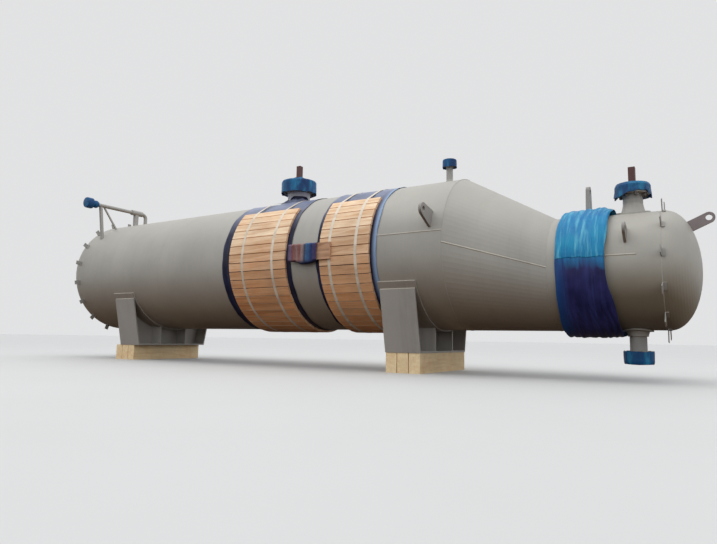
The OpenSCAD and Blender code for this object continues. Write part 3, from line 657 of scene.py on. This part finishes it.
# outer corners of the slats in the vessel's section
def slatCorners():
    s = strapping
    step = 2 * math.atan((s["slatW"] + s["slatGap"]) / 2 / s["slatR"])
    count = int((math.pi - s["open"]) / step)
    corners = []
    for i in range(-count, count + 1):
        turn = math.pi + i * step
        for side in (-1, 1):
            y, z = side * s["slatW"] / 2, s["slatR"] + s["slatT"]
            corners.append((y * math.cos(turn) + z * math.sin(turn), z * math.cos(turn) - y * math.sin(turn)))
    return corners


def bindingStraps():
    s = strapping
    verts, faces = [], []
    for x, crownR in s["at"]:
        turns = [i * 2 * math.pi / s["crownSteps"] for i in range(s["crownSteps"])]
        path = outerPath(slatCorners() + [(crownR * math.sin(turn), crownR * math.cos(turn)) for turn in turns])
        base, count = len(verts), len(path)
        for side, rise in ((-1, s["under"]), (1, s["under"]), (1, s["over"]), (-1, s["over"])):
            for y, z in path:
                k = 1 + rise / math.hypot(y, z)
                verts.append((x + side * s["width"] / 2, -y * k, vessel["kettleZ"] + z * k))
        for edge in range(4):
            a, b = base + edge * count, base + (edge + 1) % 4 * count
            for i in range(count):
                j = (i + 1) % count
                faces.append((a + i, a + j, b + j, b + i))
    piece = showMesh("bindingStraps", verts, faces, "strap", smooth=False)
    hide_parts("binding_straps")


bindingStraps()
print("straps tied")

# weld seams: a bead with a ripple for each pass of the torch, its size changed for each kind of seam
weldBead = {
    "width": 0.011, "height": 0.0032, "pitch": 0.006, "ringSize": 0.6, "lineSize": 1.15, "filletSize": 1.3,
    "profile": [(-0.5, -0.3), (-0.36, 0.45), (-0.14, 0.95), (0.14, 0.95), (0.36, 0.45), (0.5, -0.3)],
    "pass": (0.18, 2.4), "drift": (0.15, 0.35),
}


def beadAlong(name, points, normals, closed, size, finish):
    bead = weldBead
    width, height = bead["width"] * size, bead["height"] * size
    last, k = len(points), len(bead["profile"])
    verts, faces = [], []
    for i, (p, up) in enumerate(zip(points, normals)):
        before = points[(i - 1) % last] if closed or i else p
        after = points[(i + 1) % last] if closed or i < last - 1 else p
        side = (after - before).normalized().cross(up).normalized()
        swell = 1 + bead["pass"][0] * math.sin(i * bead["pass"][1])
        swell += bead["drift"][0] * ripple((i * bead["drift"][1], 0, 0), seed=len(name))
        for a, b in bead["profile"]:
            verts.append(p + side * (a * width * swell) + up * (b * height * swell))
    for i in range(last if closed else last - 1):
        j = (i + 1) % last
        for m in range(k - 1):
            faces.append((i * k + m, i * k + m + 1, j * k + m + 1, j * k + m))
    showMesh(name, verts, faces, finish)


def ringWeld(name, x, r, z):
    steps = int(2 * math.pi * r / weldBead["pitch"])
    angles = [2 * math.pi * i / steps for i in range(steps)]
    points = [ringPoint(x, a, r, z) for a in angles]
    beadAlong(name, points, [ringPoint(0, a, 1, 0) for a in angles], True, weldBead["ringSize"], "weldPaint")


# straight beads take the pale finish, a painted highlight along them
def lineWeld(name, start, end, up, size):
    steps = int((end - start).length / weldBead["pitch"])
    points = [start.lerp(end, i / steps) for i in range(steps + 1)]
    beadAlong(name, points, [up] * len(points), False, size, "paintedSeamHighlight")


# seams round the vessel
for name, x, r, z in (
        ("rearSeamWeld", "rearSeam", "kettleR", "kettleZ"), ("coneSeamWeld", "coneStart", "kettleR", "kettleZ"),
        ("portSeamWeld", "coneEnd", "portR", "portZ"), ("channelSeamWeld", "frontSeam", "channelR", "portZ")):
    ringWeld(name, vessel[x], vessel[r], vessel[z])

# seams along the vessel: station, radius and height of both ends, and degrees above the middle line
kettleRing, channelRing, portRing = (
    (vessel[r], vessel[z]) for r, z in (("kettleR", "kettleZ"), ("channelR", "portZ"), ("portR", "portZ")))
longSeam = {
    "kettleFrontLongWeld": {"start": (-0.175, *kettleRing), "end": (vessel["coneStart"], *kettleRing), "rise": 10},
    "channelLongWeld": {"start": (vessel["girthTo"] + 0.05, *channelRing), "end": (1.9, *channelRing), "rise": 10},
    "coneLongWeld": {"start": (vessel["coneStart"], *kettleRing), "end": (vessel["coneEnd"], *portRing),
        "rise": 1.5, "lean": 0.29},
}


def longWeld(name, start, end, rise, lean=0.0):
    angle = math.radians(90 - rise)
    up = ringPoint(0, angle, 1, 0) + Vector((lean, 0, 0))
    (x0, r0, z0), (x1, r1, z1) = start, end
    lineWeld(name, ringPoint(x0, angle, r0, z0), ringPoint(x1, angle, r1, z1), up.normalized(), weldBead["lineSize"])


for name, seam in longSeam.items():
    longWeld(name, **seam)

# fillets along the top of each wear plate and of each saddle end plate, pale as a painted highlight on those edges
plateWeld = {
    "at": [("fixed", 0.0), ("sliding", -3.8)], "lean": 0.7,
    "plates": [("Wear", 0.7165, 0.19, 114.2), ("Saddle", 0.7245, 0.175, 119.6)],   # radius, half length, degrees down
}
for label, x in plateWeld["at"]:
    for side, sign in (("Near", 1), ("Far", -1)):
        for kind, r, half, turn in plateWeld["plates"]:
            angle = sign * math.radians(turn)
            lineWeld(label + kind + "Fillet" + side, ringPoint(x - half, angle, r, vessel["kettleZ"]),
                ringPoint(x + half, angle, r, vessel["kettleZ"]), ringPoint(0, angle - sign * plateWeld["lean"], 1, 0),
                weldBead["filletSize"])
print("welds run")

# flared feet where the small nozzles meet the shell
onChannel, onKettle = ("channelR", "portZ"), ("kettleR", "kettleZ")
footFlare = {
    "channelTop": {"x": 1.847, "neckR": 0.0762, "footR": 0.099, "rise": 0.085, "on": onChannel, "way": 1},
    "channelBottom": {"x": 1.847, "neckR": 0.0762, "footR": 0.092, "rise": 0.05, "on": onChannel, "way": -1},
    "level": {"x": 0.234, "neckR": 0.0322, "footR": 0.046, "rise": 0.045, "on": onKettle, "way": 1},
}
footSheet = {"cols": 72, "rows": 12, "sheet": 0.002, "power": 1.7}


def flaredFoot(name, f):
    shellR, shellZ = (vessel[key] for key in f["on"])

    def place(u, v):
        ring = roundRing(u)
        r = f["neckR"] + (f["footR"] - f["neckR"]) * (1 - v) ** footSheet["power"]
        y = ring[1] * r
        shell = math.sqrt(shellR ** 2 - y * y)
        z = shell + (f["rise"] - (shell - shellR)) * v
        return Vector((f["x"] + ring[0] * r, y, shellZ + f["way"] * z))

    sheetPiece(name, place, footSheet, "shellPaint", offset=-f["way"])


for key, foot in footFlare.items():
    flaredFoot(key + "Foot", foot)
print("nozzle feet flared")

# tied covers on the nozzles
# each profile runs from the hem up the side, over the nuts and on to the post or the middle
capCover = {
    "top": {"at": Vector((-1.626, 0, 2.006)), "lobes": 8, "seed": 2, "node": "top_wrap", "slack": 1.0,
        "profile": [(0.1955, -0.072), (0.1945, -0.02), (0.1945, 0.058), (0.188, 0.072), (0.11, 0.086), (0.041, 0.122)]},
    "level": {"at": Vector((0.234, 0, 2.015)), "lobes": 5, "seed": 5, "node": "level_wrap", "slack": 1.2,
        "profile": [(0.066, -0.038), (0.0655, 0.0), (0.0655, 0.028), (0.063, 0.038), (0.03, 0.042), (0.001, 0.044)]},
    "channelTop": {"at": Vector((1.847, 0, 1.5385)), "lobes": 5, "seed": 3, "node": "channel_top_wrap",
        "slack": 2.4, "lift": 0.032,
        "profile": [(0.134, -0.052), (0.1305, 0.0), (0.1305, 0.034), (0.119, 0.057), (0.07, 0.064), (0.041, 0.074)]},
    "channelBottom": {"at": Vector((1.847, 0, 0.1875)), "lobes": 6, "seed": 6, "node": "channel_bottom_wrap",
        "slack": 1.4, "turn": math.pi,
        "profile": [(0.1085, -0.045), (0.108, 0.0), (0.108, 0.034), (0.1035, 0.0555), (0.05, 0.058), (0.001, 0.06)]},
    "vent": {"at": Vector((-4.496, -0.757, 2.006)), "lobes": 5, "seed": 9, "node": "vent_wrap", "slack": 1.2,
        "turn": math.pi / 2, "flat": (0.25, 0.42),
        "profile": [(0.033, -0.13), (0.047, -0.105), (0.044, -0.075), (0.034, -0.06), (0.066, -0.04), (0.0655, 0.028),
            (0.063, 0.038), (0.03, 0.042), (0.001, 0.044)]},
}
coverFold = {
    "sheet": 0.0012, "off": 0.0015, "cols": 150, "rows": 64, "towardViewer": Vector((0.527, -0.85)),
    "large": 0.12, "largeSide": 0.1, "smallSide": 0.066, "foldLobes": 2.2,
    "foldDepth": 0.03, "hemShare": 0.35, "fineDepth": 0.022, "fineScale": (1.7, 1.7, 2.5),
    "hemWave": 0.1, "crownFrom": 0.9, "crownSpan": 0.2, "crownDepth": 0.05,
}


# the point that lies the share t along the profile
def alongProfile(points, t):
    spans = [math.dist(a, b) for a, b in zip(points, points[1:])]
    reach = t * sum(spans)
    for i, span in enumerate(spans):
        if reach <= span or i == len(spans) - 1:
            k = min(1.0, reach / span)
            return [a + (b - a) * k for a, b in zip(points[i], points[i + 1])]
        reach -= span


def tiedCover(name, c):
    f = coverFold
    turn = Matrix.Rotation(c.get("turn", 0.0), 4, "X")
    points = c["profile"]
    size = max(r for r, z in points)
    side = f["largeSide"] if size > f["large"] else f["smallSide"]

    def place(u, v):
        ring = roundRing(u)
        r, z = alongProfile(points, v)
        across, along = (share * c["lobes"] for share in ring)
        fold = ripple((across / f["foldLobes"], along / f["foldLobes"], 0), seed=c["seed"])
        fine = ripple((across, along, v), f["fineScale"], c["seed"] + 1)
        low = max(0.0, 1.0 - (z - points[0][1]) / side)
        facing = ring[0] * f["towardViewer"].x + ring[1] * f["towardViewer"].y
        depth = f["foldDepth"] * abs(fold) * (f["hemShare"] + low) + f["fineDepth"] * abs(fine)
        r += f["off"] + size * c["slack"] * depth
        lift = c.get("lift", 0.0) * low * max(0.0, 2 * facing ** 2 - 1)
        z += side * f["hemWave"] * c["slack"] * low * low * fold + lift
        inner = size * f["crownFrom"]
        if r < inner:
            z += size * f["crownDepth"] * abs(fold) * min(1.0, (inner - r) / (size * f["crownSpan"]))
        return c["at"] + turn @ Vector((ring[0] * r, ring[1] * r, z))

    piece = sheetPiece(name, place, f, "capSheet")
    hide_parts(c["node"])
    return piece


for key, cover in capCover.items():
    piece = tiedCover(key + "Cover", cover)
    reach = sum(math.dist(a, b) for a, b in zip(cover["profile"], cover["profile"][1:]))
print("nozzle covers tied")

# film and sheet round the neck of the top nozzle
neckWrap = {
    "x": -1.626, "foot": 1.828, "high": 1.938, "sheet": 0.0012, "cols": 120, "rows": 24,
    "foldScale": (4.5, 4.5, 0.6), "seed": 31,
    "liningR": 0.1118, "liningFold": 0.0005,
    "filmR": 0.1165, "filmFold": 0.008, "topFlare": 0.013, "footFlare": 0.014,
    "arch": 0.058, "archWay": Vector((0.69, -0.72)), "archFrom": 0.55, "archSpan": 0.3, "archPower": 0.7,
}


def neckTube(name, radiusAt, lowAt, finish):
    n = neckWrap

    def place(u, v):
        ring = roundRing(u)
        facing = max(0.0, ring[0] * n["archWay"].x + ring[1] * n["archWay"].y)
        fold = abs(ripple((*ring, v), n["foldScale"], n["seed"]))
        low, r = lowAt(facing), radiusAt(v, fold)
        return Vector((n["x"] + ring[0] * r, ring[1] * r, low + (n["high"] - low) * v))

    return sheetPiece(name, place, n, finish)


def liningRadius(v, fold):
    return neckWrap["liningR"] + neckWrap["liningFold"] * fold


def filmRadius(v, fold):
    n = neckWrap
    return n["filmR"] + n["topFlare"] * v ** 2 + n["filmFold"] * fold + n["footFlare"] * (1 - v) ** 2


# the film rises in an arch on the side that faces the viewer
def filmLow(facing):
    n = neckWrap
    share = min(1.0, max(0.0, (facing - n["archFrom"]) / n["archSpan"]))
    return n["foot"] + n["arch"] * share ** n["archPower"]


lining = neckTube("topNeckLining", liningRadius, lambda facing: neckWrap["foot"], "bandSheet")
film = neckTube("topNeckFilm", filmRadius, filmLow, "paleFilm")

# loose end of the band sheet, drawn in round the foot of the nozzle
neckBunch = {
    "sheet": 0.0015, "cols": 160, "rows": 28, "over": 0.0205, "innerR": 0.118, "width": 0.075,
    "height": 0.034, "risePower": 1.5, "edgePower": 4, "seed": 41, "foldScale": (5.5, 5.5, 0), "foldOut": 0.01,
    "foldUp": 0.016, "foldFade": 0.7, "bulge": (0.85, 0.4), "bulgeScale": (2, 2, 0),
}


def bunchedSheet():
    b = neckBunch

    def place(u, v):
        ring = roundRing(u)
        fold = ripple((*ring, 0), b["foldScale"], b["seed"])
        deep = ripple((*ring, 0), b["bulgeScale"], b["seed"] + 2)
        r = b["innerR"] + b["width"] * v + b["foldOut"] * fold * math.sin(math.pi * v)
        shell = vessel["kettleZ"] + math.sqrt((vessel["kettleR"] + b["over"]) ** 2 - (ring[1] * r) ** 2)
        rise = b["height"] * (b["bulge"][0] + b["bulge"][1] * deep) * (1 - v) ** b["risePower"]
        rise += b["foldUp"] * abs(fold) * (1 - v * b["foldFade"])
        return Vector((neckWrap["x"] + ring[0] * r, ring[1] * r, shell + rise * (1 - v ** b["edgePower"])))

    piece = sheetPiece("topNeckBunch", place, b, "bandSheet")


bunchedSheet()
print("nozzle neck dressed")

# striped cloth folded over the bracket and board
bracketCloth = {
    "from": -1.134, "to": -0.79, "low": 1.028, "high": 1.2, "front": -0.772, "back": -0.738, "drop": 0.03,
    "corner": 0.012, "tuck": 0.002, "sheet": 0.0015, "cols": 150, "rows": 60,
    "sag": 0.03, "sagFrom": 0.28, "sagSpan": 0.62, "sagBelow": 1.048, "sagPower": 0.6, "seed": 51,
    "pleats": 7.3, "pleat": 0.009, "pleatShift": 0.6, "pleatScale": (0, 3, 0), "sway": 0.007, "swayScale": (3, 2.5, 0),
    "crumple": 0.004, "crumpleScale": (4, 4, 0), "hangScale": (5, 0, 0), "hangBelow": 1.1, "hang": 2.5,
    "stripes": [
        (0.0, tint(0.06, 0.055, 0.15)), (0.09, tint(0.2, 0.13, 0.2)), (0.2, tint(0.26, 0.08, 0.055)),
        (0.3, tint(0.3, 0.2, 0.2)), (0.42, tint(0.3, 0.11, 0.085)), (0.52, tint(0.32, 0.25, 0.26)),
        (0.6, tint(0.03, 0.025, 0.06)), (0.65, tint(0.045, 0.14, 0.3)), (0.83, tint(0.015, 0.035, 0.15)),
        (0.92, tint(0.06, 0.045, 0.14))],
    "stripeShift": 0.01, "wander": (9.0, 3.0, 0.55), "wanderReach": 0.02,
    "shade": tint(0.01, 0.016, 0.06), "shadeSpan": (1.058, 1.023),
    "soil": (34.0, 4.0, 0.6), "soilSpan": (0.4, 0.75), "soilShare": (0.0, 0.7), "soilTint": tint(0.55, 0.5, 0.52),
    "roughSpan": (0.3, 0.7), "rough": (0.7, 0.9), "bump": 0.5, "bumpReach": 0.002,
}


def stripedCloth():
    b = bracketCloth
    material, tree, principled = newMaterial("stripedCloth")
    coord = objectPlace(tree)
    split = axes(tree, coord)
    wander = times(tree, noiseAt(tree, coord, b["wander"]), b["wanderReach"])
    ends = (b["from"] + b["stripeShift"], b["to"] + b["stripeShift"])
    along = ranged(tree, calc(tree, "ADD", split["X"], wander), ends)
    ramp = addNode(tree, "ShaderNodeValToRGB")
    stops = ramp.color_ramp.elements
    stops[0].position, stops[0].color = b["stripes"][0]
    stops[1].position, stops[1].color = b["stripes"][-1]
    for at, colour in b["stripes"][1:-1]:
        stops.new(at).color = colour
    tree.links.new(along, ramp.inputs[0])
    soil = noiseAt(tree, coord, b["soil"])
    soiled = ranged(tree, soil, b["soilSpan"], b["soilShare"])
    shade = blended(tree, soiled, ramp.outputs["Color"], b["soilTint"], "MULTIPLY")
    height = calc(tree, "ADD", split["Z"], wander)
    under = ranged(tree, height, b["shadeSpan"])   # dark below the board
    coat(tree, principled, blended(tree, under, shade, b["shade"]), ranged(tree, soil, b["roughSpan"], b["rough"]))
    addRelief(tree, principled, soil, b["bump"], b["bumpReach"])
    return material


finishes["stripedCloth"] = stripedCloth()


def foldedCloth():
    b = bracketCloth
    front, back, low, high, corner, seed = (b[key] for key in ("front", "back", "low", "high", "corner", "seed"))
    # up the back, over the top, down the front and a little under
    path = [(back, high - b["drop"]), (back, high - corner), (back - corner, high), (front + corner, high),
        (front, high - corner), (front, low + corner), (front + corner, low), (back, low + b["tuck"])]

    def place(u, v):
        x = b["from"] + (b["to"] - b["from"]) * u
        y, z = alongProfile(path, v)
        shift = b["pleatShift"] * ripple((u, v, 0), b["pleatScale"], seed)
        pleat = abs(math.sin(u * math.pi * b["pleats"] + shift))
        outer = max(0.0, min(1.0, (back - y) / (back - front)))
        sway = ripple((u, v, 0), b["swayScale"], seed + 2)
        if z < b["sagBelow"]:
            share = min(1.0, max(0.0, (u - b["sagFrom"]) / b["sagSpan"]))
            z -= b["sag"] * math.sin(math.pi * share) ** b["sagPower"]
        x += b["crumple"] * ripple((u, v, 0), b["crumpleScale"], seed + 4)
        y -= outer * (b["pleat"] * pleat + b["sway"] * sway)
        uneven = 1 if z > b["hangBelow"] else b["hang"]   # the lower half hangs less evenly
        z += b["crumple"] * ripple((u, v, 0), b["hangScale"], seed + 6) * uneven
        return Vector((x, y, z))

    piece = sheetPiece("bracketCloth", place, b, "stripedCloth", closed=False)


foldedCloth()
print("bracket cloth folded")

# floor, sky, lamp and camera; the camera sees a paler floor and sky than those that light the part
backdrop = {
    "size": 400.0, "shade": 0.66, "patch": (0.9, 4.0, 0.6), "patchTint": (0.94, 0.94, 0.93), "floorRough": 0.8,
    "floorLight": tint(0.075, 0.048, 0.033), "sky": 0.77, "skyTint": (0.985, 0.99, 1.0),
    "skyLow": tint(0.05, 0.035, 0.025), "skyHigh": tint(0.97, 0.985, 1.0), "horizon": (-0.1, 0.1), "skyStrength": 1.1,
}


def makeFloor():
    material, tree, principled = newMaterial("paleFloor")
    patch = noiseAt(tree, objectPlace(tree), backdrop["patch"])
    k = backdrop["shade"]
    pale = blended(tree, patch, tint(k, k, k), tint(*(k * share for share in backdrop["patchTint"])))
    ray = addNode(tree, "ShaderNodeLightPath").outputs["Is Camera Ray"]
    tree.links.new(blended(tree, ray, backdrop["floorLight"], pale), principled.inputs["Base Color"])
    principled.inputs["Roughness"].default_value = backdrop["floorRough"]
    s = backdrop["size"] / 2
    floor = addMesh("floor", [(-s, -s, 0), (s, -s, 0), (s, s, 0), (-s, s, 0)], [(0, 1, 2, 3)], material)


def makeSky():
    world = bpy.data.worlds.new("studioSky")
    bpy.context.scene.world = world
    world.use_nodes = True
    tree = world.node_tree
    tree.nodes.clear()
    out = addNode(tree, "ShaderNodeOutputWorld")
    light = addNode(tree, "ShaderNodeBackground")
    seen = addNode(tree, "ShaderNodeBackground")
    way = axes(tree, addNode(tree, "ShaderNodeTexCoord").outputs["Generated"])
    fall = ranged(tree, way["Z"], backdrop["horizon"])
    tree.links.new(blended(tree, fall, backdrop["skyLow"], backdrop["skyHigh"]), light.inputs["Color"])
    light.inputs["Strength"].default_value = backdrop["skyStrength"]
    seen.inputs["Color"].default_value = tint(*(backdrop["sky"] * share for share in backdrop["skyTint"]))
    ray = addNode(tree, "ShaderNodeLightPath").outputs
    mirrored = calc(tree, "MAXIMUM", ray["Is Glossy Ray"], ray["Is Transmission Ray"])
    mask = calc(tree, "MAXIMUM", ray["Is Camera Ray"], mirrored)
    mix = addNode(tree, "ShaderNodeMixShader")
    for socket, source in zip(mix.inputs, (mask, light.outputs[0], seen.outputs[0])):
        tree.links.new(source, socket)
    tree.links.new(mix.outputs[0], out.inputs[0])


overheadSoft = {
    "at": (-1.0, -1.5, 6.5), "to": (-1.0, 0.3, 1.0), "size": (9.0, 4.0), "power": 110, "colour": (1.0, 0.99, 0.97)}


def addLamp(name, settings):
    data = bpy.data.lights.new(name, "AREA")
    data.shape = "RECTANGLE"
    data.size, data.size_y = settings["size"]
    data.energy = settings["power"]
    data.color = settings["colour"]
    lamp = addObject(name, data)
    lamp.location = settings["at"]
    lamp.rotation_euler = (Vector(settings["to"]) - Vector(settings["at"])).to_track_quat("-Z", "Y").to_euler()


# the camera as it was found from the outlines, with its place in the last column
photoCamera = {
    "sensor": 36.0, "lens": 28.738, "near": 0.05, "far": 200.0,
    "matrix": (
        (0.84862927, 0.04804186, 0.52680199, 2.384),
        (0.52875335, -0.1066992, -0.84204226, -5.092),
        (0.01575608, 0.99313003, -0.11595036, 0.297),
        (0, 0, 0, 1)),
}


def placeCamera():
    data = bpy.data.cameras.new("photoCamera")
    camera = addObject("photoCamera", data)
    camera.matrix_world = Matrix(photoCamera["matrix"])
    data.sensor_width = photoCamera["sensor"]
    data.lens = photoCamera["lens"]
    data.clip_start, data.clip_end = photoCamera["near"], photoCamera["far"]
    bpy.context.scene.camera = camera


makeFloor()
makeSky()
addLamp("overheadSoft", overheadSoft)
placeCamera()
bpy.context.scene.view_settings.view_transform = "Standard"
print("stage set")

nodeLayout = {"wide": 200, "high": 300}


# sets the nodes out in columns, by how many links lie between them and the end of the tree
def layOut(tree):
    column = dict.fromkeys(tree.nodes.keys(), 0)
    for name in column:   # one pass for each node is enough for the longest chain
        for link in tree.links:
            source = link.from_node.name
            column[source] = max(column[source], column[link.to_node.name] + 1)
    rows = {}
    for name, place in column.items():
        rows[place] = rows.get(place, -1) + 1
        tree.nodes[name].location = (-nodeLayout["wide"] * place, -nodeLayout["high"] * rows[place])


for tree in bpy.data.node_groups:
    layOut(tree)
for holder in (*bpy.data.materials, bpy.context.scene.world):
    if holder.use_nodes:
        layOut(holder.node_tree)
print("shader trees set out")

print("pieces done")
